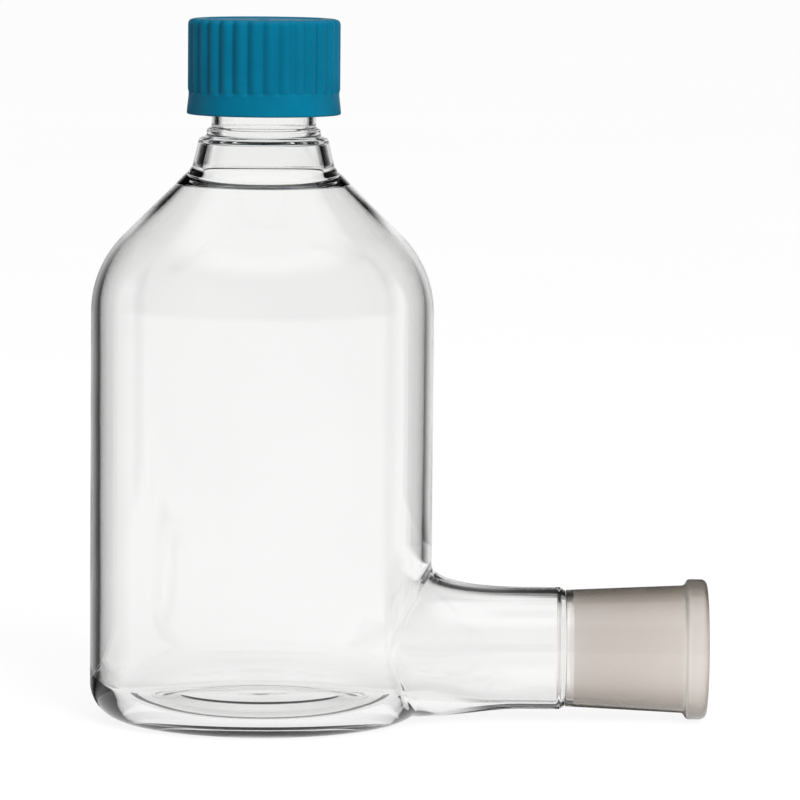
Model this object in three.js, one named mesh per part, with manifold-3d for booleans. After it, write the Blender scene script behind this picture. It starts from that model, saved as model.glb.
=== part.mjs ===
// A 500 ml aspirator bottle: a round glass bottle with a threaded neck and a screw cap, and low on
// its side a glass outlet that ends in a conical ground socket.
//
// Millimetres, +Z up, standing on z = 0, with the outlet along +X. The origin is under the middle of
// the whole object, so the bottle's own axis lies on the -X side of it. Every sub-part is built
// around the bottle's axis and placed by the group at the end of the file.

import * as THREE from 'three';
import { mergeVertices } from 'three/addons/utils/BufferGeometryUtils.js';
import Module from 'manifold-3d';

const wasm = await Module();
wasm.setup();

// ---------------------------------------------------------------- driving dimensions

const gap = 0.3; // between neighbouring pieces

// Bottle
const bodyR = 43;
const baseCornerR = 9;
const footInnerR = 26.6; // inner edge of the ring that the bottle stands on
const pushUp = 2.4; // height of the hollow under the base
const floorZ = 3.4; // inside, over the foot ring
const floorCornerR = 8;
const wallTop = 2.1; // the wall is thinnest below the shoulder
const wallBottom = 2.8;
const wallShoulder = 1.7;
const shoulderZ = 113.7; // where the body's side would meet the 45 degree shoulder
const shoulderR = 27; // rounding between the body's side and the shoulder

// Neck and its thread
const collarFootR = 17.9; // a collar that tapers up from the shoulder
const collarFootBoreR = 16.4;
const collarFootBoreZ = 134; // a low ledge inside marks where the collar ends
const collarTopR = 16.2;
const collarTopBoreR = 13.9;
const collarTopZ = 146.2;
const flangeR = 14.3;
const flangeTopZ = 148.3;
const neckR = 13.1;
const threadRootR = 14.1;
const threadCrestR = 15.8;
const threadLead = 4;
const threadStartZ = 156.8;
const threadTurns = 2;
const lipZ = 170.2;
const lipR = 13;
const boreR = 11.4;

// Screw cap
const capBottomZ = 152.1;
const capTopZ = 176;
const capPlate = 2;
const capBoreR = 16.15;
const capThreadR = 14.5;
const ribs = 30;
const ribRootR = 18.25;
const ribHeight = 0.8;
const capEdgeR = 1.2;
const bandR = 19.4; // the plain band at the cap's open end
const bandTopZ = 158;

// Seal disc in the cap, and the pouring ring on the lip
const sealT = 1.8;
const sealR = 15.6;
const ringT = 1.1;
const ringR = 14.15;
const ringCollarT = 0.9;
const ringTopZ = lipZ + gap + ringT;
const ringBottomZ = lipZ - 2.4;

// Outlet
const outletZ = 18.1; // height of the outlet's axis
const outletR = 15.4;
const outletBoreR = 13.8;
const throatR = 12.9; // where the shank and the ground socket are fused
const outletEndX = 76.7;
const blendReach = 5.5; // how far the blends spread over the body above the outlet
const sideReach = 6.5; // and how much farther they do in front of it and behind it
const blendEndX = 66; // where the blend has become the plain outlet
const flareEndX = 60; // where the flare inside it has become the plain bore
const footClear = 0.6; // height of the blend's edge over the table, under the outlet

// Ground socket: a 29.2 mm mouth that narrows by 1 in 10 over 32 mm
const mouthX = 112.5;
const mouthR = 14.6;
const coneLength = 32;
const coneTaper = 1 / 10;
const beadR = 17.65;
const beadWidth = 5;
const socketR = 14.7;

const segments = 40; // round a turned piece
const arcError = 0.12; // how far a facet of a rounded corner may lie from the true arc

// ---------------------------------------------------------------- helpers

// The outline through corners [x, y, radius], with an arc at every corner that has a radius.
function roundCorners(corners) {
  return corners.flatMap(([x, y, radius = 0], i) => {
    const corner = new THREE.Vector2(x, y);
    if (radius === 0) return [corner];
    const before = new THREE.Vector2(...corners[i - 1]).sub(corner).normalize();
    const after = new THREE.Vector2(...corners[i + 1]).sub(corner).normalize();
    const half = Math.acos(before.dot(after)) / 2;
    const sweep = -Math.sign(before.cross(after)) * (Math.PI - 2 * half);
    const centre = before.clone().add(after).setLength(radius / Math.sin(half)).add(corner);
    const start = before.setLength(radius / Math.tan(half)).add(corner);
    const widestStep = 2 * Math.acos(1 - Math.min(arcError / radius, 1));
    const steps = Math.ceil(Math.abs(sweep) / widestStep);
    const arc = [];
    for (let k = 0; k <= steps; k++) {
      arc.push(start.clone().rotateAround(centre, (sweep * k) / steps));
    }
    return arc;
  });
}

// A closed three.js geometry as a solid that can be cut and joined.
function solid(geometry) {
  geometry.deleteAttribute('normal');
  geometry.deleteAttribute('uv');
  const merged = mergeVertices(geometry, 1e-4);
  const index = merged.index.array;
  const triangles = [];
  for (let i = 0; i < index.length; i += 3) {
    const [a, b, c] = index.slice(i, i + 3);
    if (a !== b && b !== c && c !== a) triangles.push(a, b, c);
  }
  return new wasm.Manifold(new wasm.Mesh({
    numProp: 3,
    vertProperties: merged.attributes.position.array,
    triVerts: Uint32Array.from(triangles),
  }));
}

// A solid of revolution about the bottle's axis, from corners [radius, z, rounding].
function turned(corners) {
  return solid(new THREE.LatheGeometry(roundCorners(corners), segments).rotateX(Math.PI / 2));
}

// A solid of revolution about the outlet's axis, from corners [radius, x, rounding].
function turnedOnOutlet(corners) {
  const geometry = new THREE.LatheGeometry(roundCorners(corners), segments);
  return solid(geometry.rotateZ(-Math.PI / 2).translate(0, 0, outletZ));
}

// A right-hand helical ridge about the bottle's axis, which stands out from a wall at baseR as far
// as tipR. It is rootWidth wide at the wall and crestWidth wide at the tip, its root is buried in the
// wall, and over the first and last quarter of a turn it runs out to nothing.
function threadRidge({ baseR, tipR, startZ, turns, rootWidth, crestWidth }) {
  const rootR = baseR + 0.4 * Math.sign(baseR - tipR);
  const section = new THREE.Shape([
    new THREE.Vector2(rootR, -rootWidth / 2),
    new THREE.Vector2(tipR, -crestWidth / 2),
    new THREE.Vector2(tipR, crestWidth / 2),
    new THREE.Vector2(rootR, rootWidth / 2),
  ]);
  const steps = turns * segments;
  const geometry = new THREE.ExtrudeGeometry(section, { depth: turns, steps, bevelEnabled: false });
  const position = geometry.attributes.position;
  for (let i = 0; i < position.count; i++) {
    const turn = turns - position.getZ(i);
    const height = Math.min(1, 0.05 + 4 * turn, 0.05 + 4 * (turns - turn));
    const radius = rootR + (position.getX(i) - rootR) * height;
    const angle = 2 * Math.PI * turn;
    const z = startZ + threadLead * turn + position.getY(i);
    position.setXYZ(i, radius * Math.cos(angle), radius * Math.sin(angle), z);
  }
  return solid(geometry);
}

// ---------------------------------------------------------------- sub-parts

// Radius plus height is the same all along a 45 degree shoulder.
const shoulderSum = bodyR + shoulderZ;
const innerShoulderSum = shoulderSum - wallShoulder * Math.SQRT2;

// The outside of the bottle, from the middle of the base up to the top of the neck.
const outside = [
  [0, pushUp],
  [footInnerR - 6, pushUp - 0.4, 6],
  [footInnerR, 0, 3],
  [bodyR, 0, baseCornerR],
  [bodyR, shoulderZ, shoulderR],
  [collarFootR, shoulderSum - collarFootR, 4],
  [collarTopR, collarTopZ, 0.8],
  [flangeR, collarTopZ + 0.3, 0.4],
  [flangeR, flangeTopZ, 0.6],
  [neckR, flangeTopZ + 0.6, 0.6],
  [neckR, capBottomZ + 0.8],
  [threadRootR, capBottomZ + 1.8],
  [threadRootR, lipZ - 3.2],
  [lipR, lipZ - 2.8],
  [lipR, lipZ, 0.7],
];

// The inside, from the lip down to the middle of the floor.
const inside = [
  [boreR, lipZ, 0.7],
  [boreR, collarTopZ + 0.6, 1.2],
  [collarTopBoreR, collarTopZ - 1.2, 1.2],
  [collarFootBoreR, collarFootBoreZ, 1.2],
  [collarFootBoreR + 3.6, innerShoulderSum - collarFootBoreR - 3.6, 2],
  [bodyR - wallTop, innerShoulderSum - bodyR + wallTop, shoulderR - wallTop],
  [bodyR - wallBottom, floorZ, floorCornerR],
  [footInnerR + 2.4, floorZ, 5],
  [footInnerR - 6, pushUp + 2.7, 5],
  [0, pushUp + 3.1],
];

// Radius of the bottle's outside at a height between the table and the shoulder.
function bodyRadiusAt(z) {
  const below = Math.max(0, baseCornerR - z);
  return bodyR - baseCornerR + Math.sqrt(baseCornerR ** 2 - below ** 2);
}

// Radius of the bottle's inside at a height between its floor and the outlet's top.
function innerRadiusAt(z) {
  const below = Math.max(0, floorZ + floorCornerR - z);
  return bodyR - wallBottom - floorCornerR + Math.sqrt(floorCornerR ** 2 - below ** 2);
}

// A solid about the outlet's axis, from profileAt(angle), its outline as (radius, x) points in one
// half-plane through the axis. The angle runs from 0 on top of the outlet to pi on its underside.
function aroundOutlet(profileAt) {
  const rows = profileAt(0).length;
  const geometry = new THREE.LatheGeometry(profileAt(0), segments);
  const position = geometry.attributes.position;
  for (let i = 0; i <= segments; i++) {
    const angle = (2 * Math.PI * (i % segments)) / segments;
    profileAt(angle).forEach((point, j) => {
      const y = -point.x * Math.sin(angle);
      const z = outletZ + point.x * Math.cos(angle);
      position.setXYZ(i * rows + j, point.y, y, z);
    });
  }
  return solid(geometry);
}

// Blends between two sizes, from the one all round the outlet to the one under it.
function betweenSizes(angle) {
  const low = ((1 - Math.cos(angle)) / 2) ** 3; // 0 on top, 1 underneath, small in between
  return (around, underneath) => THREE.MathUtils.lerp(around, underneath, low);
}

// Where a blend at an angle round the outlet leaves the bottle's wall, whose radius at a height is
// wallRadiusAt(z): the point itself and the one that pulls the blend along the wall, both (radius, x).
function leaveWall(angle, reachR, endR, wallRadiusAt) {
  const wallR = wallRadiusAt(outletZ + reachR * Math.cos(angle));
  const lean = Math.abs(reachR * Math.sin(angle)) / wallR;
  const start = new THREE.Vector2(reachR, wallR * Math.sqrt(1 - lean ** 2));
  const span = ((reachR - endR) * 2) / 3;
  const pull = new THREE.Vector2(-span * Math.sqrt(1 - lean ** 2), 0.3 + span * lean);
  return { start, pull: pull.add(start) };
}

// The outlet's outside, from within the bottle, out over the blend, to its end. Underneath, the
// blend hangs lower and runs into the bottle's foot.
function outletProfile(angle) {
  const size = betweenSizes(angle);
  const spread = sideReach * Math.sin(angle) ** 4;
  const reachR = size(outletR + blendReach, outletZ - footClear) + spread;
  const { start, pull } = leaveWall(angle, reachR, outletR, bodyRadiusAt);
  const blend = new THREE.CubicBezierCurve(
    start,
    new THREE.Vector2(size(pull.x, reachR + 0.2), size(pull.y, bodyR + 7)),
    new THREE.Vector2(outletR, blendEndX - size(14, 10)),
    new THREE.Vector2(outletR, blendEndX),
  );
  return [
    new THREE.Vector2(0, bodyR / 2),
    new THREE.Vector2(reachR, bodyR / 2),
    ...blend.getPoints(7),
    new THREE.Vector2(outletR, outletEndX - 3),
    new THREE.Vector2(socketR, outletEndX - gap / 2),
    new THREE.Vector2(0, outletEndX - gap / 2),
  ];
}

// The outlet's passage, from within the bottle, out through the flare in its wall, to the end.
function boreProfile(angle) {
  const size = betweenSizes(angle);
  const spread = sideReach * Math.sin(angle) ** 4;
  const reachR = size(outletBoreR + blendReach, outletZ - floorZ - gap) + spread;
  const { start, pull } = leaveWall(angle, reachR, outletBoreR, innerRadiusAt);
  const flare = new THREE.CubicBezierCurve(
    start,
    new THREE.Vector2(size(pull.x, reachR - 0.3), size(pull.y, start.y + 7)),
    new THREE.Vector2(outletBoreR, flareEndX - 10),
    new THREE.Vector2(outletBoreR, flareEndX),
  );
  return [
    new THREE.Vector2(0, bodyR / 2),
    new THREE.Vector2(reachR, bodyR / 2),
    ...flare.getPoints(6),
    new THREE.Vector2(outletBoreR, outletEndX),
    new THREE.Vector2(0, outletEndX),
  ];
}

function bottleBody() {
  const glass = turned([...outside, ...inside]);
  const thread = threadRidge({
    baseR: threadRootR,
    tipR: threadCrestR,
    startZ: threadStartZ,
    turns: threadTurns,
    rootWidth: 2,
    crestWidth: 1,
  });
  return glass.add(thread).subtract(aroundOutlet(boreProfile));
}

function outletTube() {
  const bottleWithGap = turned([
    [0, -gap],
    [bodyR + gap, -gap, baseCornerR + gap],
    [bodyR + gap, 2 * outletZ + 20],
    [0, 2 * outletZ + 20],
  ]);
  return aroundOutlet(outletProfile).subtract(bottleWithGap).subtract(aroundOutlet(boreProfile));
}

function groundSocket() {
  const startX = outletEndX + gap / 2;
  const narrowR = mouthR - (coneLength * coneTaper) / 2;
  const underBeadR = mouthR + 1.5;
  return turnedOnOutlet([
    [throatR, startX],
    [socketR, startX],
    [underBeadR, mouthX - beadWidth - 1, 1],
    [beadR, mouthX - beadWidth, 1.6],
    [beadR, mouthX, 1.6],
    [mouthR, mouthX],
    [narrowR, mouthX - coneLength],
    [throatR, startX],
  ]);
}

// The ring's skirt grips the outside of the lip, and its collar lines the mouth of the neck.
function pouringRing() {
  const collarR = boreR - gap;
  return turned([
    [lipR + gap, ringBottomZ],
    [ringR - 0.2, ringBottomZ],
    [ringR, ringTopZ - 1],
    [ringR, ringTopZ, 0.4],
    [collarR - ringCollarT, ringTopZ, 0.8],
    [collarR - ringCollarT, ringBottomZ],
    [collarR, ringBottomZ],
    [collarR, lipZ + gap],
    [lipR + gap, lipZ + gap],
    [lipR + gap, ringBottomZ],
  ]);
}

function capSeal() {
  const bottom = ringTopZ + gap;
  const top = bottom + sealT;
  return turned([[0, bottom], [sealR, bottom, 0.4], [sealR, top, 0.4], [0, top]]);
}

// The cap's outside is turned, then its side is pushed out into rounded ribs.
function ribbedBlank() {
  const flatTopR = ribRootR - capEdgeR - 0.01;
  const outline = roundCorners([
    [0, capBottomZ],
    [bandR, capBottomZ, 0.4],
    [bandR - 0.5, bandTopZ - 0.6, 0.5],
    [ribRootR, bandTopZ],
    [ribRootR, capTopZ, capEdgeR],
    [0, capTopZ],
  ]);
  const geometry = new THREE.LatheGeometry(outline, 4 * ribs).rotateX(Math.PI / 2);
  const position = geometry.attributes.position;
  for (let i = 0; i < position.count; i++) {
    const [x, y, z] = [position.getX(i), position.getY(i), position.getZ(i)];
    const radius = Math.hypot(x, y);
    if (z < bandTopZ - 0.01 || radius < flatTopR) continue;
    const rib = ribHeight * Math.abs(Math.cos((Math.atan2(y, x) * ribs) / 2));
    position.setXYZ(i, x * (1 + rib / radius), y * (1 + rib / radius), z);
  }
  return solid(geometry);
}

function screwCap() {
  const bore = turned([
    [0, capBottomZ - 1],
    [capBoreR, capBottomZ - 1],
    [capBoreR, capTopZ - capPlate, 0.5],
    [0, capTopZ - capPlate],
  ]);
  const thread = threadRidge({
    baseR: capBoreR,
    tipR: capThreadR,
    startZ: threadStartZ + threadLead / 2,
    turns: threadTurns,
    rootWidth: 1.8,
    crestWidth: 0.8,
  });
  return ribbedBlank().subtract(bore).add(thread);
}

// ---------------------------------------------------------------- the object

const clearGlass = { color: 0xeef2f1, roughness: 0.02, metalness: 0, transparent: true, opacity: 0.35 };
const groundGlass = { color: 0xcec5bf, roughness: 0.6, metalness: 0 };
const tealPlastic = { color: 0x087394, roughness: 0.4, metalness: 0 };
const whiteSilicone = { color: 0xe6e4de, roughness: 0.7, metalness: 0 };

function subPart(name, piece, look) {
  const { vertProperties, triVerts } = piece.getMesh();
  const geometry = new THREE.BufferGeometry();
  geometry.setAttribute('position', new THREE.BufferAttribute(vertProperties, 3));
  geometry.setIndex(new THREE.BufferAttribute(triVerts, 1));
  geometry.computeVertexNormals();
  const mesh = new THREE.Mesh(geometry, new THREE.MeshStandardMaterial(look));
  mesh.name = name;
  return mesh;
}

const object = new THREE.Group();
object.add(
  subPart('bottle_body', bottleBody(), clearGlass),
  subPart('outlet_tube', outletTube(), clearGlass),
  subPart('ground_socket', groundSocket(), groundGlass),
  subPart('pouring_ring', pouringRing(), tealPlastic),
  subPart('cap_seal', capSeal(), whiteSilicone),
  subPart('screw_cap', screwCap(), tealPlastic),
);
object.position.x = (bodyR - mouthX) / 2;

export default object;
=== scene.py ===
"""The looks of a 500 ml aspirator bottle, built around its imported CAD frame.

Shapes are worked out in millimetres from the bottle's own axis, and turned into metres in the row
frame when their meshes are made.
"""

import math

import bmesh
import bpy
import numpy as np
from mathutils import Matrix, Vector


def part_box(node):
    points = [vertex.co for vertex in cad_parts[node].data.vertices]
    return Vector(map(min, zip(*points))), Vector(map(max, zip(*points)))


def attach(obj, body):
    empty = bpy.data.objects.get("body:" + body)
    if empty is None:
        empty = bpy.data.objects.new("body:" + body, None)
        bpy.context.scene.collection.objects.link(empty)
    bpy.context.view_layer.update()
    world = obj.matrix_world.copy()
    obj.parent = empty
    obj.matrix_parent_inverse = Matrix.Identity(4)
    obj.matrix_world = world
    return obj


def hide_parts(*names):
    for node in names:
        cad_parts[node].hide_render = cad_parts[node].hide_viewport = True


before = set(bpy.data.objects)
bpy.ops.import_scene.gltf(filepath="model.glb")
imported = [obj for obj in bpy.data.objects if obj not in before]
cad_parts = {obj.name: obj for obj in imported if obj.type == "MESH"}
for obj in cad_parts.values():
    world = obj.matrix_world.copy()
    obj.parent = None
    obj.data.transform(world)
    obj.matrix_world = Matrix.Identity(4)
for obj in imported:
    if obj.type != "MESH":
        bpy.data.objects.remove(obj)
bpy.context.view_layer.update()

MM = 0.001
WELD = 2e-6  # points closer than this, in metres, become one


# ------------------------------------------------------------------ sizes from the frame


def box_mm(node):
    """(lowest corner, highest corner) of a CAD node, in millimetres."""
    low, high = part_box(node)
    return low / MM, high / MM


body_low, body_high = box_mm("bottle_body")
socket_low, socket_high = box_mm("ground_socket")
cap_low, cap_high = box_mm("screw_cap")
ring_low, ring_high = box_mm("pouring_ring")
seal_low, seal_high = box_mm("cap_seal")

AXIS_X = (body_low.x + body_high.x) / 2
BODY_R = (body_high.x - body_low.x) / 2
LIP_Z = body_high.z
OUTLET_Z = (socket_low.z + socket_high.z) / 2
MOUTH_X = socket_high.x - AXIS_X
SEAM_X = socket_low.x - AXIS_X
BEAD_R = (socket_high.z - socket_low.z) / 2
CAP_BOTTOM, CAP_TOP = cap_low.z, cap_high.z
BAND_R = (cap_high.x - cap_low.x) / 2
RING_R = (ring_high.x - ring_low.x) / 2
SEAL_R = (seal_high.x - seal_low.x) / 2

# ------------------------------------------------------------------ sizes of the glass, mm

BASE_CORNER_R = 9
FOOT_INNER_R = 26.6
PUSH_UP = 2.4
FLOOR_Z = 3.4
FLOOR_CORNER_R = 8
INNER_R = 40.6
INNER_TOP_R = 40.9
SHOULDER_Z = 113.7
SHOULDER_R = 27
SHOULDER_WALL = 1.7
COLLAR_FOOT_R = 17.9
COLLAR_FOOT_BORE_R = 16.4
COLLAR_FOOT_BORE_Z = 134  # a low ledge inside marks where the collar ends
COLLAR_TOP_R = 16.2
COLLAR_TOP_BORE_R = 13.9
COLLAR_TOP_Z = 146.2
FLANGE_R = 14.3
FLANGE_TOP_Z = 148.3
NECK_R = 13.1
NECK_BORE_R = 11.4
LIP_R = 13
LIP_MIDDLE_R = (LIP_R + NECK_BORE_R) / 2
THREAD_LEAD = 4
THREAD_ROOT_R = 14.1
THREAD_CREST_R = 15.8
THREAD_START_Z = 156.8
THREAD_TURNS = 2
THREAD_RUN_IN = 1.6  # the thread fades out over this height beyond each end
OUTLET_R = 15.4
OUTLET_BORE_R = 13.8
SHANK_END_R = 14.7
THROAT_R = 12.9  # the bore where the shank and the socket meet
SEAM_MIDDLE_R = (SHANK_END_R + THROAT_R) / 2
MOUTH_R = 14.6
CONE_LENGTH = 32
CONE_SLOPE = 1 / 20  # the cone's radius falls by this much over its length
COLUMNS = 240
ARC_ERROR = 0.002  # how far a facet of a rounded corner may lie from its arc


# ------------------------------------------------------------------ outlines and meshes


def rounded(corners):
    """An outline through corners (x, y, radius), with an arc at each corner that has a radius."""
    points = []
    for i, (x, y, *radius) in enumerate(corners):
        corner = Vector((x, y))
        if not radius:
            points.append(corner)
            continue
        before = (Vector(corners[i - 1][:2]) - corner).normalized()
        after = (Vector(corners[i + 1][:2]) - corner).normalized()
        half = before.angle(after) / 2
        centre = corner + (before + after).normalized() * radius[0] / math.sin(half)
        spoke = corner + before * radius[0] / math.tan(half) - centre
        cross = before.x * after.y - before.y * after.x
        sweep = math.copysign(math.pi - 2 * half, -cross)
        step = 2 * math.acos(1 - min(ARC_ERROR / radius[0], 0.002))
        steps = max(2, math.ceil(abs(sweep) / step))
        for k in range(steps + 1):
            points.append(centre + Matrix.Rotation(sweep * k / steps, 2) @ spoke)
    return points


def supported(points, near=0.35, longest=6.0):
    """The outline with extra points on its long straights, so that they shade flat."""
    result = [points[0]]
    for a, b in zip(points, points[1:]):
        length = (b - a).length
        if length > 4 * near:
            inner = max(1, math.ceil((length - 2 * near) / longest))
            for k in range(inner + 1):
                t = (near + (length - 2 * near) * k / inner) / length
                result.append(a.lerp(b, t))
        result.append(b)
    return result


def revolve(outline, columns=COLUMNS, bulge=None):
    """Rows of points round the bottle's axis. bulge(angle, radius, z) moves a point outwards."""
    angles = np.arange(columns) * 2 * math.pi / columns
    rows = []
    for radius, z in outline:
        r = np.full(columns, float(radius))
        if bulge is not None and radius > 0:
            r = r + bulge(angles, radius, z)
        rows.append(np.stack([r * np.cos(angles), r * np.sin(angles), np.full(columns, z)], 1))
    return np.array(rows)


def sheet_faces(rows, first, skip):
    """Quads between neighbouring rings of points, numbered from first, but none where skip says."""
    count, columns = rows.shape[:2]
    faces = []
    for i in range(count - 1):
        for j in range(columns):
            if skip is not None and skip(i, j):
                continue
            k = (j + 1) % columns
            a, b = first + i * columns, first + (i + 1) * columns
            faces.append((a + j, a + k, b + k, b + j))
    return faces


def make_piece(name, sheets, material, body, nodes):
    """One closed smooth mesh from sheets of (rows, skip), riding on a CAD body."""
    points, faces = [], []
    for rows, skip in sheets:
        faces += sheet_faces(rows, len(points), skip)
        points.extend(rows.reshape(-1, 3))
    mesh = bpy.data.meshes.new(name)
    coords = (np.array(points) + np.array([AXIS_X, 0, 0])) * MM
    mesh.from_pydata(coords.tolist(), [], faces)
    work = bmesh.new()
    work.from_mesh(mesh)
    bmesh.ops.remove_doubles(work, verts=work.verts, dist=WELD)
    bmesh.ops.dissolve_degenerate(work, edges=work.edges, dist=WELD / 20)
    loose = [v for v in work.verts if not v.link_faces]
    bmesh.ops.delete(work, geom=loose, context="VERTS")
    bmesh.ops.recalc_face_normals(work, faces=work.faces)
    for face in work.faces:
        face.smooth = True
    work.to_mesh(mesh)
    work.free()
    mesh.materials.append(material)
    piece = bpy.data.objects.new(name, mesh)
    bpy.context.scene.collection.objects.link(piece)
    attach(piece, body)
    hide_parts(*nodes)
    return piece


def smoothstep(low, high, x):
    t = np.clip((x - low) / (high - low), 0, 1)
    return t * t * (3 - 2 * t)


def is_at(radius, wall_r):
    """Whether an outline point lies on a wall, within the precision that outlines are kept in."""
    return abs(radius - wall_r) < 0.001


def thread_profile(phase, root_width, crest_width):
    """Height from 0 to 1 of a rounded thread ridge, a distance phase mm from its middle."""
    return 1 - smoothstep(crest_width / 2, root_width / 2, abs(phase))


def threaded_wall(radius, start_z, end_z, step):
    """Closely spaced points up a wall from just above start_z, for a thread to stand out from."""
    steps = round((end_z - start_z) / step)
    return [Vector((radius, start_z + step * k)) for k in range(1, steps + 1)]


def thread_bulge(angles, z, start_z, depth, root_width, crest_width):
    """How far a right-hand thread that starts at angle 0 stands out at a height, for each angle."""
    turn = (z - start_z) / THREAD_LEAD - angles / (2 * math.pi)
    nearest = np.round(turn)
    phase = (turn - nearest) * THREAD_LEAD
    along = nearest + angles / (2 * math.pi)
    fade = smoothstep(-0.02, 0.22, along) * (1 - smoothstep(-0.22, 0.02, along - THREAD_TURNS))
    return depth * fade * thread_profile(phase, root_width, crest_width)


# ------------------------------------------------------------------ the outlet's place in the wall

WINDOW_COLUMNS = 32
WINDOW_ROWS = 36
SIDE_REACH = 6.5  # how much farther the blend spreads to the front and the back of the outlet


class Wall:
    """The lower part of a turned wall: a flat floor, a quarter round, and the upright side.

    Distances s along it are counted outwards from where the floor meets the quarter round.
    """

    def __init__(self, radius, corner_r, floor_z, floor_reach, top_z):
        self.radius, self.corner_r, self.floor_z = radius, corner_r, floor_z
        self.quarter = corner_r * math.pi / 2
        self.low_s = -floor_reach
        self.high_s = self.quarter + top_z - floor_z - corner_r

    def at(self, s):
        """(radius, z) at a distance along the wall."""
        inner = self.radius - self.corner_r
        if s < 0:
            return inner + s, self.floor_z
        if s > self.quarter:
            return self.radius, self.floor_z + self.corner_r + s - self.quarter
        angle = s / self.corner_r
        rise = self.corner_r * (1 - math.cos(angle))
        return inner + self.corner_r * math.sin(angle), self.floor_z + rise

    def distance(self, z):
        """The distance along the wall of a height above the floor."""
        above = z - self.floor_z
        if above > self.corner_r:
            return self.quarter + above - self.corner_r
        return self.corner_r * math.acos(1 - above / self.corner_r)

    def row(self, i):
        return self.low_s + (self.high_s - self.low_s) * i / WINDOW_ROWS

    def outline(self):
        return [Vector(self.at(self.row(i))) for i in range(WINDOW_ROWS + 1)]

    def point(self, angle, s):
        radius, z = self.at(s)
        return radius * math.cos(angle), radius * math.sin(angle), z

    def rim(self):
        """(angle, s) of the window's edge, once round, counter-clockwise from its lower left."""
        w, step = WINDOW_COLUMNS, 2 * math.pi / COLUMNS
        lower = [(j * step, self.low_s) for j in range(-w, w)]
        right = [(w * step, self.row(i)) for i in range(WINDOW_ROWS)]
        upper = [(j * step, self.high_s) for j in range(w, -w, -1)]
        left = [(-w * step, self.row(i)) for i in range(WINDOW_ROWS, 0, -1)]
        return lower + right + upper + left


def outlet_sheet(wall, reach_top, reach_bottom, profile, rings=10):
    """Rows of points from the window's edge, over the wall to the outlet, and out along it.

    profile(low, wall_x, reach, lean) gives the outlet's outline as (x, radius) points from the
    wall outwards, where low is 0 on top of the outlet and 1 on its underside, and lean is how far
    the wall there has turned away from the outlet's axis.
    """
    centre_s = wall.distance(OUTLET_Z)
    columns = []
    rim = wall.rim()
    for k, (angle, s) in enumerate(rim):
        spoke = math.atan2(angle * wall.radius, s - centre_s)
        low = ((1 - math.cos(spoke)) / 2) ** 3
        reach = reach_top + (reach_bottom - reach_top) * low + SIDE_REACH * math.sin(spoke) ** 4
        y, z = reach * math.sin(spoke), OUTLET_Z + reach * math.cos(spoke)
        hole_s = wall.distance(z)
        lean = y / wall.at(hole_s)[0]
        hole_angle = math.asin(lean)
        column = []
        for ring in range(rings + 1):
            t = ring / rings
            column.append(wall.point(angle + (hole_angle - angle) * t, s + (hole_s - s) * t))
        wall_x = column[-1][0]
        for x, radius in profile(low, wall_x, reach, abs(lean)):
            column.append((x, radius * math.sin(spoke), OUTLET_Z + radius * math.cos(spoke)))
        columns.append(column)
    return np.array(columns).transpose(1, 0, 2)


def bezier(points, steps):
    """Points along a cubic Bezier curve, without its first."""
    a, b, c, d = (np.array(p, float) for p in points)
    result = []
    for k in range(1, steps + 1):
        t = k / steps
        u = 1 - t
        result.append(tuple(u**3 * a + 3 * u * u * t * b + 3 * u * t * t * c + t**3 * d))
    return result


def between(around, underneath, low):
    return around + (underneath - around) * low


def pull_from_wall(low, wall_x, reach, lean, end_r, low_point):
    """The blend's first control point: along the wall, except underneath, where it is low_point."""
    span = (reach - end_r) * 2 / 3
    x, radius = wall_x + 0.3 + span * lean, reach - span * math.sqrt(1 - lean * lean)
    return between(x, low_point[0], low), between(radius, low_point[1], low)


def window_skip(first_row):
    """Leaves the window out of a turned sheet whose row first_row is the window's lowest."""
    def skip(i, j):
        in_rows = first_row <= i < first_row + WINDOW_ROWS
        return in_rows and (j < WINDOW_COLUMNS or j >= COLUMNS - WINDOW_COLUMNS)
    return skip


# ------------------------------------------------------------------ the glass bottle

outside_wall = Wall(BODY_R, BASE_CORNER_R, 0, 3, 50)
inside_wall = Wall(INNER_R, FLOOR_CORNER_R, FLOOR_Z, 2, 50)

BLEND_REACH = 5.5
BLEND_END_X = 66
FLARE_END_X = 60
FOOT_CLEAR = 0.6
FLOOR_CLEAR = 0.3
SHANK_END_X = SEAM_X - 0.15


def shank_outside(low, wall_x, reach, lean):
    """The blend from the body's outside into the shank, then the shank to its fused end."""
    low_point = (BODY_R + 7, reach + 0.2)
    pull_in = pull_from_wall(low, wall_x, reach, lean, OUTLET_R, low_point)
    pull_out = (BLEND_END_X - between(14, 10, low), OUTLET_R)
    blend = bezier([(wall_x, reach), pull_in, pull_out, (BLEND_END_X, OUTLET_R)], 22)
    end = rounded([
        (BLEND_END_X, OUTLET_R),
        (SHANK_END_X - 1.3, OUTLET_R, 1.2),
        (SHANK_END_X, SHANK_END_R, 0.3),
        (SHANK_END_X, SEAM_MIDDLE_R),
    ])
    return blend + [tuple(p) for p in supported(end)[1:]]


def shank_inside(low, wall_x, reach, lean):
    """The flare in the body's wall into the bore, then the bore to the ridge at its fused end."""
    low_point = (wall_x + 7, reach - 0.3)
    pull_in = pull_from_wall(low, wall_x, reach, lean, OUTLET_BORE_R, low_point)
    pull_out = (FLARE_END_X - 10, OUTLET_BORE_R)
    flare = bezier([(wall_x, reach), pull_in, pull_out, (FLARE_END_X, OUTLET_BORE_R)], 20)
    end = rounded([
        (FLARE_END_X, OUTLET_BORE_R),
        (SHANK_END_X - 2, OUTLET_BORE_R, 1.5),
        (SHANK_END_X, THROAT_R, 0.2),
        (SHANK_END_X, SEAM_MIDDLE_R),
    ])
    return flare + [tuple(p) for p in supported(end)[1:]]


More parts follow.
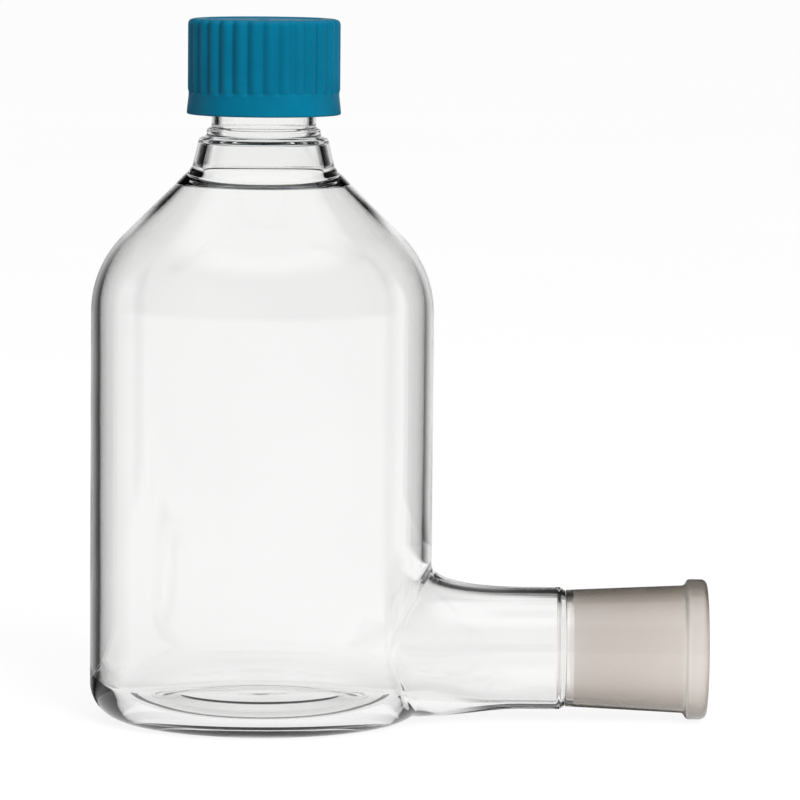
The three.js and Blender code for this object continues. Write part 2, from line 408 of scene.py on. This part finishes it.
def bottle_outlines():
    """The bottle's outside and inside as (radius, z) points, and the windows' first rows.

    Along each face of the 45 degree shoulder radius + z stays the same, which places its corners.
    """
    shoulder_sum = BODY_R + SHOULDER_Z
    inner_sum = shoulder_sum - SHOULDER_WALL * math.sqrt(2)
    thread_bottom = THREAD_START_Z - THREAD_RUN_IN
    thread_top = THREAD_START_Z + THREAD_LEAD * THREAD_TURNS + THREAD_RUN_IN
    push = supported(rounded([
        (0, PUSH_UP),
        (FOOT_INNER_R - 6, PUSH_UP - 0.4, 6),
        (FOOT_INNER_R, 0, 3),
        outside_wall.at(outside_wall.low_s),
    ]))[:-1]
    upper = supported(rounded([
        outside_wall.at(outside_wall.high_s),
        (BODY_R, SHOULDER_Z, SHOULDER_R),
        (COLLAR_FOOT_R, shoulder_sum - COLLAR_FOOT_R, 4),
        (COLLAR_TOP_R, COLLAR_TOP_Z, 1.4),
        (FLANGE_R, COLLAR_TOP_Z + 0.6, 0.7),
        (FLANGE_R, FLANGE_TOP_Z, 0.9),
        (NECK_R, FLANGE_TOP_Z + 0.8, 1.0),
        (NECK_R, 153.3, 0.5),
        (THREAD_ROOT_R, 154.3, 0.5),
        (THREAD_ROOT_R, thread_bottom),
    ]))[1:]
    thread = threaded_wall(THREAD_ROOT_R, thread_bottom, thread_top, 0.25)
    lip = supported(rounded([
        (THREAD_ROOT_R, thread_top),
        (THREAD_ROOT_R, LIP_Z - 3.2, 0.3),
        (LIP_R, LIP_Z - 2.8, 0.3),
        (LIP_R, LIP_Z, 0.7),
        (LIP_MIDDLE_R, LIP_Z),
    ]))[1:]
    inside = supported(rounded([
        (0, PUSH_UP + 3.1),
        (FOOT_INNER_R - 6, PUSH_UP + 2.7, 6),
        (FOOT_INNER_R + 1.5, FLOOR_Z, 4),
        inside_wall.at(inside_wall.low_s),
    ]))[:-1]
    inside_upper = supported(rounded([
        inside_wall.at(inside_wall.high_s),
        (INNER_TOP_R, inner_sum - INNER_TOP_R, SHOULDER_R - SHOULDER_WALL),
        (COLLAR_FOOT_BORE_R + 3.6, inner_sum - COLLAR_FOOT_BORE_R - 3.6, 2),
        (COLLAR_FOOT_BORE_R, COLLAR_FOOT_BORE_Z, 1.2),
        (COLLAR_TOP_BORE_R, COLLAR_TOP_Z - 1.4, 1.6),
        (NECK_BORE_R, COLLAR_TOP_Z + 0.4, 1.6),
        (NECK_BORE_R, LIP_Z, 0.7),
        (LIP_MIDDLE_R, LIP_Z),
    ]))[1:]
    outer = push + outside_wall.outline() + upper + thread + lip
    inner = inside + inside_wall.outline() + inside_upper
    return outer, len(push), inner, len(inside)


def neck_thread(angles, radius, z):
    """The thread on the neck, whose ridges stand out from its root."""
    if not is_at(radius, THREAD_ROOT_R):
        return np.zeros_like(angles)
    depth = THREAD_CREST_R - THREAD_ROOT_R
    return thread_bulge(angles, z, THREAD_START_Z, depth, 2.4, 0.6)


def bottle_glass(material):
    """The bottle and the shank in one mesh, as fused glass is."""
    outer, outer_row, inner, inner_row = bottle_outlines()
    outside_rows = revolve(outer, bulge=neck_thread)
    inside_rows = revolve(inner)
    shank = outlet_sheet(
        outside_wall, OUTLET_R + BLEND_REACH, OUTLET_Z - FOOT_CLEAR, shank_outside
    )
    bore = outlet_sheet(
        inside_wall, OUTLET_BORE_R + BLEND_REACH, OUTLET_Z - FLOOR_Z - FLOOR_CLEAR, shank_inside
    )
    # Both end at the middle of the shank's end face, at slightly different angles.
    bore[-1] = shank[-1]
    sheets = [
        (outside_rows, window_skip(outer_row)),
        (inside_rows, window_skip(inner_row)),
        (shank, None),
        (bore, None),
    ]
    return make_piece(
        "bottle_glass", sheets, material, "bottle", ["bottle_body", "outlet_tube"]
    )


# ------------------------------------------------------------------ the ground socket


def turned_piece(name, outline, material, body, nodes, columns=COLUMNS, bulge=None):
    """A piece turned about the bottle's axis, whose bulge stands out from its outline."""
    rows = revolve(outline, columns, bulge)
    return make_piece(name, [(rows, None)], material, body, nodes)


def socket_glass(outside, ground):
    """The socket, turned about the outlet's axis: polished outside, ground on its cone."""
    start = SEAM_X - 0.05
    narrow_r = MOUTH_R - CONE_LENGTH * CONE_SLOPE
    outline = supported(rounded([
        (SEAM_MIDDLE_R, start),
        (SHANK_END_R, start, 0.3),
        (SHANK_END_R + 0.1, start + 1.5, 2),
        (MOUTH_R + 1.5, MOUTH_X - 6, 0.8),
        (BEAD_R, MOUTH_X - 5, 1.1),
        (BEAD_R, MOUTH_X, 1.6),
        (MOUTH_R, MOUTH_X, 0.5),
        (narrow_r, MOUTH_X - CONE_LENGTH - 0.4, 0.1),
        (THROAT_R + 0.1, start + 1.6, 1.5),
        (THROAT_R, start, 0.2),
        (SEAM_MIDDLE_R, start),
    ]))
    angles = np.arange(COLUMNS) * 2 * math.pi / COLUMNS
    rows = np.array([
        np.stack([np.full(COLUMNS, x), r * np.sin(angles), OUTLET_Z + r * np.cos(angles)], 1)
        for r, x in outline
    ])
    piece = make_piece(
        "socket_glass", [(rows, None)], outside, "bottle", ["ground_socket"]
    )
    piece.data.materials.append(ground)
    cone_start = (MOUTH_X - CONE_LENGTH - 1.7 + AXIS_X) * MM
    for face in piece.data.polygons:
        x, y, z = face.center
        faces_in = face.normal.dot((0, y, z - OUTLET_Z * MM)) < 0
        if faces_in and math.hypot(y, z - OUTLET_Z * MM) < (MOUTH_R + 0.2) * MM and x > cone_start:
            face.material_index = 1
    return piece


# ------------------------------------------------------------------ cap, seal and pouring ring

RIBS = 30
RIB_COLUMNS = 12
RIB_ROOT_R = 18.25
RIB_HEIGHT = 0.8
BAND_TOP_Z = CAP_BOTTOM + 5.5
CAP_BORE_R = 16.15
CAP_THREAD_R = 14.5
PLATE_Z = CAP_TOP - 2  # the underside of the cap's top
TOP_DISH = 0.35  # how deep the middle of the cap's top is sunk
SEAT_DEPTH = 0.25  # how deep the seal's seat is sunk into the plate


def cap_bulge(angles, radius, z):
    """Ribs on the cap's side and top edge, and the thread in its bore."""
    if is_at(radius, CAP_BORE_R):
        depth = CAP_THREAD_R - CAP_BORE_R
        return thread_bulge(angles, z, THREAD_START_Z + THREAD_LEAD / 2, depth, 2.2, 0.5)
    if z < BAND_TOP_Z - 1 or radius < RIB_ROOT_R - 1.5 or radius > RIB_ROOT_R + 1:
        return np.zeros_like(angles)
    wave = np.abs(np.cos(angles * RIBS / 2)) ** 1.3
    fade = smoothstep(BAND_TOP_Z - 0.8, BAND_TOP_Z + 0.8, z)
    fade = fade * smoothstep(RIB_ROOT_R - 1.5, RIB_ROOT_R - 0.5, radius)
    return RIB_HEIGHT * fade * wave


def screw_cap(material):
    """The cap: a smooth band, ribs over it, a dished top with a gate mark, and a threaded bore."""
    bottom, top = CAP_BOTTOM, CAP_TOP
    gate_mark_z = top - 0.15
    side = supported(rounded([
        (CAP_BORE_R + 0.9, bottom),
        (BAND_R, bottom, 0.45),
        (BAND_R - 0.55, BAND_TOP_Z - 0.5, 0.8),
        (RIB_ROOT_R, BAND_TOP_Z + 0.3, 0.6),
        (RIB_ROOT_R, top, 1.5),
        (15.2, top, 0.6),
        (14.6, top - TOP_DISH, 0.6),
        (1.6, top - TOP_DISH, 0.3),
        (1.3, gate_mark_z, 0.2),
        (0, gate_mark_z),
    ]), longest=2.5)
    inside_low = supported(rounded([
        (CAP_BORE_R + 0.9, bottom),
        (CAP_BORE_R + 0.5, bottom, 0.2),
        (CAP_BORE_R, bottom + 1, 0.4),
        (CAP_BORE_R, THREAD_START_Z),
    ]))[1:]
    thread_top = THREAD_START_Z + THREAD_LEAD * (THREAD_TURNS + 0.5) + THREAD_RUN_IN
    threaded = threaded_wall(CAP_BORE_R, THREAD_START_Z, thread_top, 0.3)
    inside_high = supported(rounded([
        (CAP_BORE_R, thread_top),
        (CAP_BORE_R, PLATE_Z, 0.5),
        (12.5, PLATE_Z, 0.2),
        (12.2, PLATE_Z + SEAT_DEPTH, 0.2),
        (0, PLATE_Z + SEAT_DEPTH),
    ]))[1:]
    outline = side[::-1] + inside_low + threaded + inside_high
    return turned_piece(
        "screw_cap_moulded", outline, material, "cap", ["screw_cap"],
        RIBS * RIB_COLUMNS, cap_bulge,
    )


def cap_seal(material):
    """The seal disc, slightly thinner in the middle than under the lip."""
    bottom, top = seal_low.z, seal_high.z
    middle = bottom + 0.12
    outline = supported(rounded([
        (0, middle),
        (10.2, middle, 0.3),
        (10.6, bottom, 0.3),
        (SEAL_R, bottom, 0.35),
        (SEAL_R, top, 0.35),
        (0, top),
    ]))
    return turned_piece("seal_disc", outline, material, "seal", ["cap_seal"], 160)


def pouring_ring(material):
    """The ring that grips the lip from both sides, with a drip edge round its top."""
    bottom, top = ring_low.z, ring_high.z
    collar = NECK_BORE_R - 0.3
    skirt_bore = LIP_R + 0.3
    skirt_middle = (skirt_bore + RING_R - 0.15) / 2
    over_lip = LIP_Z + 0.3
    outline = supported(rounded([
        (skirt_middle, bottom),
        (RING_R - 0.25, bottom, 0.2),
        (RING_R - 0.05, bottom + 0.8, 0.3),
        (RING_R - 0.05, top - 1.2, 0.3),
        (RING_R, top - 0.9, 0.2),
        (RING_R, top, 0.4),
        (12.4, top - 0.35, 1.2),
        (collar - 0.9, top - 0.3, 0.5),
        (collar - 0.75, bottom, 0.2),
        (collar, bottom, 0.2),
        (collar, over_lip, 0.3),
        (skirt_bore, over_lip, 0.3),
        (skirt_bore, bottom, 0.15),
        (skirt_middle, bottom),
    ]))
    return turned_piece(
        "drip_ring", outline, material, "bottle", ["pouring_ring"], 200
    )


# ------------------------------------------------------------------ materials


class Nodes:
    """A short way to add and link the nodes of one material."""

    def __init__(self, name):
        self.material = bpy.data.materials.new(name)
        self.material.use_nodes = True
        self.tree = self.material.node_tree
        self.shader = self.tree.nodes["Principled BSDF"]

    def add(self, kind, **values):
        node = self.tree.nodes.new(kind)
        for name, value in values.items():
            if hasattr(node, name):
                setattr(node, name, value)
            else:
                node.inputs[name.replace("_", " ")].default_value = value
        return node

    def link(self, source, target):
        self.tree.links.new(source, target)

    def noise(self, scale, detail=3.0, roughness=0.55):
        """Noise over the piece's own shape, in cells per metre."""
        place = self.add("ShaderNodeTexCoord")
        noise = self.add("ShaderNodeTexNoise")
        noise.inputs["Scale"].default_value = scale
        noise.inputs["Detail"].default_value = detail
        noise.inputs["Roughness"].default_value = roughness
        self.link(place.outputs["Object"], noise.inputs["Vector"])
        return noise.outputs["Fac"]

    def ramp(self, factor, low, high):
        """A number between low and high, as factor goes from 0 to 1."""
        span = self.add("ShaderNodeMapRange")
        span.inputs["To Min"].default_value = low
        span.inputs["To Max"].default_value = high
        self.link(factor, span.inputs["Value"])
        return span.outputs["Result"]

    def colours(self, factor, *stops):
        """A colour ramp over (position, (r, g, b)) stops."""
        ramp = self.add("ShaderNodeValToRGB")
        elements = ramp.color_ramp.elements
        while len(elements) < len(stops):
            elements.new(0.5)
        for element, (position, colour) in zip(elements, stops):
            element.position = position
            element.color = (*colour, 1)
        self.link(factor, ramp.inputs["Fac"])
        return ramp.outputs["Color"]

    def bump(self, height, distance, strength=1.0):
        bump = self.add("ShaderNodeBump")
        bump.inputs["Distance"].default_value = distance
        bump.inputs["Strength"].default_value = strength
        self.link(height, bump.inputs["Height"])
        self.link(bump.outputs["Normal"], self.shader.inputs["Normal"])

    def set(self, **values):
        for name, value in values.items():
            self.shader.inputs[name.replace("_", " ")].default_value = value


def srgb(r, g, b):
    """A colour given in 0 to 255 display values, as linear light."""
    def linear(v):
        v /= 255
        return v / 12.92 if v <= 0.04045 else ((v + 0.055) / 1.055) ** 2.4
    return linear(r), linear(g), linear(b)


GLASS_IOR = 1.473


def clear_glass():
    """Borosilicate glass with the slight unevenness of a blown wall."""
    n = Nodes("clear_glass")
    n.set(Roughness=0.0, IOR=GLASS_IOR, Transmission_Weight=1.0)
    tint = n.colours(n.noise(30), (0.3, (0.938, 0.942, 0.936)), (0.7, (0.952, 0.955, 0.949)))
    n.link(tint, n.shader.inputs["Base Color"])
    n.bump(n.noise(45, 1.0), 0.00006)
    return n.material


def ground_glass():
    """The ground cone: a fine matt grain that scatters the light and looks warm grey."""
    n = Nodes("ground_glass")
    n.set(IOR=GLASS_IOR, Transmission_Weight=0.8)
    grain = n.noise(2600, 6.0, 0.7)
    tint = n.colours(grain, (0.3, srgb(238, 229, 223)), (0.7, srgb(250, 242, 236)))
    n.link(tint, n.shader.inputs["Base Color"])
    n.link(n.ramp(grain, 0.5, 0.72), n.shader.inputs["Roughness"])
    n.bump(grain, 0.00004)
    return n.material


def socket_outside():
    """The socket's polished outside, slightly satin where the ground cone shines through, with
    painted shade that darkens and warms its colour towards the edges that turn from view.
    """
    n = Nodes("socket_outside")
    n.set(IOR=GLASS_IOR, Transmission_Weight=1.0)
    n.link(n.ramp(n.noise(300), 0.05, 0.12), n.shader.inputs["Roughness"])
    # Painted shade: the colour grows darker and warmer as the surface turns away from the view,
    # with a slight random unevenness added.
    edge = n.add("ShaderNodeLayerWeight", Blend=0.5)
    edge_shade_and_unevenness = n.add("ShaderNodeMath", operation="ADD")
    n.link(edge.outputs["Facing"], edge_shade_and_unevenness.inputs[0])
    n.link(n.ramp(n.noise(60), -0.04, 0.04), edge_shade_and_unevenness.inputs[1])
    tint = n.colours(
        edge_shade_and_unevenness.outputs["Value"],
        (0.08, (1.0, 0.99, 0.98)), (0.2, (0.94, 0.92, 0.9)), (0.38, (0.66, 0.63, 0.58)),
        (0.55, (0.42, 0.39, 0.34)), (1.0, (0.2, 0.18, 0.15)),
    )
    n.link(tint, n.shader.inputs["Base Color"])
    return n.material


def moulded_plastic(name, dark, light):
    """Glossy moulded polypropylene with a fine orange-peel surface."""
    n = Nodes(name)
    n.set(IOR=1.49, Specular_IOR_Level=0.1)
    tint = n.colours(n.noise(90, 4.0), (0.3, dark), (0.7, light))
    n.link(tint, n.shader.inputs["Base Color"])
    n.link(n.ramp(n.noise(420, 5.0), 0.38, 0.52), n.shader.inputs["Roughness"])
    n.bump(n.noise(1500, 4.0), 0.00003)
    return n.material


def silicone():
    """Soft white silicone, with a little light inside it."""
    n = Nodes("white_silicone")
    n.set(IOR=1.41, Subsurface_Weight=0.2, Subsurface_Scale=0.001)
    tint = n.colours(n.noise(200), (0.3, srgb(222, 220, 212)), (0.7, srgb(236, 234, 227)))
    n.link(tint, n.shader.inputs["Base Color"])
    n.link(n.ramp(n.noise(900), 0.5, 0.65), n.shader.inputs["Roughness"])
    n.bump(n.noise(2500), 0.00002)
    return n.material


# ------------------------------------------------------------------ floor, light and camera

FLOOR_REACH = 30
FLOOR_TOP = -0.00003  # a hair below the foot, so that light is reflected inside the foot's glass


def flat(name, corners, material, faces=None):
    """A flat stage piece through its corners."""
    mesh = bpy.data.meshes.new(name)
    mesh.from_pydata(corners, [], faces or [tuple(range(len(corners)))])
    mesh.materials.append(material)
    piece = bpy.data.objects.new(name, mesh)
    bpy.context.scene.collection.objects.link(piece)
    return piece


def floor():
    """A pale floor that glows a little, less so for the light that it throws back on the cap."""
    n = Nodes("pale_floor")
    n.set(Roughness=0.9, Specular_IOR_Level=0.0, Emission_Color=(1, 1, 1, 1))
    tint = n.colours(n.noise(3), (0.3, (0.165,) * 3), (0.7, (0.175,) * 3))
    n.link(tint, n.shader.inputs["Base Color"])
    path = n.add("ShaderNodeLightPath")
    n.link(n.ramp(path.outputs["Is Diffuse Ray"], 0.86, 0.2), n.shader.inputs["Emission Strength"])
    corners = level(-FLOOR_REACH, FLOOR_REACH, -FLOOR_REACH, FLOOR_REACH, FLOOR_TOP)
    flat("floor", corners, n.material)


def upright(x, near, far, bottom, top):
    """The corners of a rectangle that stands along Y."""
    return [(x, near, bottom), (x, far, bottom), (x, far, top), (x, near, top)]


def across(left, right, y, bottom, top):
    """The corners of a rectangle that stands along X."""
    return [(left, y, bottom), (right, y, bottom), (right, y, top), (left, y, top)]


def level(left, right, near, far, z):
    """The corners of a rectangle that lies flat."""
    return [(left, near, z), (right, near, z), (right, far, z), (left, far, z)]


def share_density(n, place, side, start, stops):
    """How dense a card is for how far a point lies to a side, from start metres off the axis.

    That distance counts as a share of the point's distance behind the axis, and the stops give
    the density for each share.
    """
    aside = n.add("ShaderNodeMath", operation="MULTIPLY_ADD")
    aside.inputs[1].default_value = side / WIDEST_SHARE
    aside.inputs[2].default_value = (-side * AXIS_X * MM - start) / WIDEST_SHARE
    share = n.add("ShaderNodeMath", operation="DIVIDE")
    n.link(place.outputs["X"], aside.inputs[0])
    n.link(aside.outputs[0], share.inputs[0])
    n.link(place.outputs["Y"], share.inputs[1])
    ramp = ((at / WIDEST_SHARE, (value,) * 3) for at, value in stops)
    return n.colours(share.outputs[0], *ramp)


def fade_density(n, place, axis, clear, dense):
    """How dense a card is along an axis, from the place where it is clear to where it is dense."""
    fade = n.add("ShaderNodeMapRange", interpolation_type="SMOOTHSTEP")
    fade.inputs["From Min"].default_value = clear
    fade.inputs["From Max"].default_value = dense
    n.link(place.outputs[axis], fade.inputs["Value"])
    return fade.outputs["Result"]


def card(name, corners, shares=None, fades=(), faces=None):
    """A dark card out of the camera's sight, which draws dark lines along the edges of the glass.

    shares is (side, start, stops) and each fade is (axis, clear, dense), two of these at most.
    """
    n = Nodes(name)
    n.set(Roughness=1.0, Specular_IOR_Level=0.0)
    tint = n.colours(n.noise(8), (0.3, (0.01,) * 3), (0.7, (0.02,) * 3))
    n.link(tint, n.shader.inputs["Base Color"])
    point = n.add("ShaderNodeNewGeometry")
    place = n.add("ShaderNodeSeparateXYZ")
    n.link(point.outputs["Position"], place.inputs[0])
    densities = [fade_density(n, place, *fade) for fade in fades]
    if shares is not None:
        densities.append(share_density(n, place, *shares))
    if densities:
        product = n.add("ShaderNodeMath", operation="MULTIPLY")
        product.inputs[1].default_value = 1
        for density, socket in zip(densities, product.inputs):
            n.link(density, socket)
        n.link(product.outputs[0], n.shader.inputs["Alpha"])
    piece = flat(name, corners, n.material, faces)
    piece.visible_camera = False
    piece.visible_diffuse = False
    piece.visible_shadow = False


# The cards' places are in metres, and the sideways ones are counted from the bottle's axis.
AXIS = AXIS_X * MM
WIDEST_SHARE = 2.5
BODY_EDGE = 0.038
COLLAR_EDGE = 0.015
CARD_Y = 0.06
CARD_REACH = 0.2
CARD_TOP = 0.3
ABOVE_OUTLET = 0.036
LEFT = (-1, BODY_EDGE, (
    (0.03, 0), (0.23, 0.3), (0.305, 0.42), (0.5, 0.67), (0.73, 0.92), (0.95, 1), (1.4, 0.7),
    (2.2, 0.4),
))
RIGHT = (1, BODY_EDGE, (
    (0.05, 0), (0.39, 0.19), (0.51, 0.3), (0.61, 0.6), (0.73, 0.8), (0.9, 1),
))
COLLAR_STOPS = ((0.2, 0), (0.45, 0.8), (0.6, 1))


def body_cards():
    """Cards for the body's two edges. The left one goes on over the floor."""
    inner = BODY_EDGE + 0.0005
    left = across(AXIS - CARD_REACH, AXIS - inner, CARD_Y, 0.0005, CARD_TOP)
    card("left_card", left, LEFT)
    right = across(AXIS + inner, AXIS + CARD_REACH, CARD_Y, ABOVE_OUTLET, CARD_TOP)
    card("right_card", right, RIGHT)
    card("left_floor_card", level(AXIS - 0.12, AXIS - inner, 0.004, CARD_Y, 0.0003), LEFT)


def collar_cards():
    """Cards for the edges of the collar under the neck, which fade out down the shoulder."""
    for name, side in (("collar_left_card", -1), ("collar_right_card", 1)):
        corners = upright(AXIS + side * 0.04, 0.004, 0.09, 0.126, 0.156)
        card(name, corners, (side, COLLAR_EDGE, COLLAR_STOPS), [("Z", 0.128, 0.142)])


def foot_card(inner_r, outer_r, steps=48):
    """A half ring under the front of the foot, which thickens the dark line along the base."""
    corners = []
    for step in range(steps + 1):
        angle = math.pi * (1 + step / steps)
        for r in (inner_r * MM, outer_r * MM):
            corners.append((AXIS + r * math.cos(angle), r * math.sin(angle), FLOOR_TOP / 3))
    faces = [(2 * i, 2 * i + 1, 2 * i + 3, 2 * i + 2) for i in range(steps)]
    card("foot_card", corners, faces=faces)


def outlet_cards():
    """Cards for the outlet's upper and lower edges, which fade in away from the body."""
    start, end = AXIS + 0.046, AXIS + (MOUTH_X - 1.5) * MM
    high = 0.052
    upper = across(start, end, 0.025, ABOVE_OUTLET - 0.0005, high)
    card("outlet_card", upper, fades=[("Z", high, 0.038), ("X", start, start + 0.022)])
    far = 0.008
    lower = level(start, end, -0.002, far, 0.0001)
    card("under_outlet_card", lower, fades=[("Y", far, 0.004), ("X", start, start + 0.012)])


def surroundings():
    """A dim room: a bright wall low down behind the bottle, and a wide soft light overhead."""
    world = bpy.data.worlds.new("studio")
    bpy.context.scene.world = world
    world.use_nodes = True
    tree = world.node_tree
    place = tree.nodes.new("ShaderNodeTexCoord")
    split = tree.nodes.new("ShaderNodeSeparateXYZ")
    tree.links.new(place.outputs["Generated"], split.inputs[0])

    def span(axis, start, end, low, high):
        ramp = tree.nodes.new("ShaderNodeMapRange")
        ramp.interpolation_type = "SMOOTHSTEP"
        ramp.inputs["From Min"].default_value = start
        ramp.inputs["From Max"].default_value = end
        ramp.inputs["To Min"].default_value = low
        ramp.inputs["To Max"].default_value = high
        tree.links.new(split.outputs[axis], ramp.inputs["Value"])
        return ramp.outputs["Result"]

    def combine(operation, a, b):
        node = tree.nodes.new("ShaderNodeMath")
        node.operation = operation
        tree.links.new(a, node.inputs[0])
        tree.links.new(b, node.inputs[1])
        return node.outputs["Value"]

    overhead = span("Z", 0.65, 0.9, 0, 1.2)
    room = span("Y", -0.6, 0.1, 0.32, 0.08)
    wall = combine("MULTIPLY", span("Y", -0.1, 0.4, 0, 0.92), span("Z", 0.17, 0.44, 1, 0))
    total = combine("ADD", combine("ADD", overhead, room), wall)
    back = tree.nodes["Background"]
    back.inputs["Color"].default_value = (1, 1, 1, 1)
    tree.links.new(total, back.inputs["Strength"])
    bpy.context.scene.view_settings.view_transform = "Standard"


def area_light(name, place, target, size, power):
    """A rectangular light that the glass neither mirrors nor shows through itself."""
    light = bpy.data.lights.new(name, "AREA")
    light.shape = "RECTANGLE"
    light.size, light.size_y = size
    light.energy = power
    lamp = bpy.data.objects.new(name, light)
    bpy.context.scene.collection.objects.link(lamp)
    lamp.location = place
    lamp.visible_glossy = False
    lamp.visible_transmission = False
    lamp.rotation_euler = (Vector(target) - Vector(place)).to_track_quat("-Z", "Y").to_euler()


EYE = (-0.0001, -1.4, 0.218)
FOCAL_LENGTH = 252
ROLL = math.radians(0.5)
PITCH = math.radians(5.605)


def camera():
    """A long lens that looks slightly down on the bottle."""
    lens = bpy.data.cameras.new("camera")
    lens.lens, lens.sensor_width = FOCAL_LENGTH, 36
    lens.clip_end = 100
    eye = bpy.data.objects.new("camera", lens)
    bpy.context.scene.collection.objects.link(eye)
    eye.matrix_world = (
        Matrix.Translation(EYE)
        @ Matrix.Rotation(math.pi / 2 - PITCH, 4, "X")
        @ Matrix.Rotation(ROLL, 4, "Z")
    )
    bpy.context.scene.camera = eye


bottle_glass(clear_glass())
socket_glass(socket_outside(), ground_glass())
teal = moulded_plastic("teal_plastic", srgb(0, 94, 122), srgb(0, 104, 134))
screw_cap(teal)
pouring_ring(teal)
cap_seal(silicone())
floor()
body_cards()
collar_cards()
foot_card(31.8, 34.2)
outlet_cards()
surroundings()
area_light("key", (0.55, -1.2, 0.75), (-0.03, 0, 0.1), (0.8, 0.8), 24)
camera()
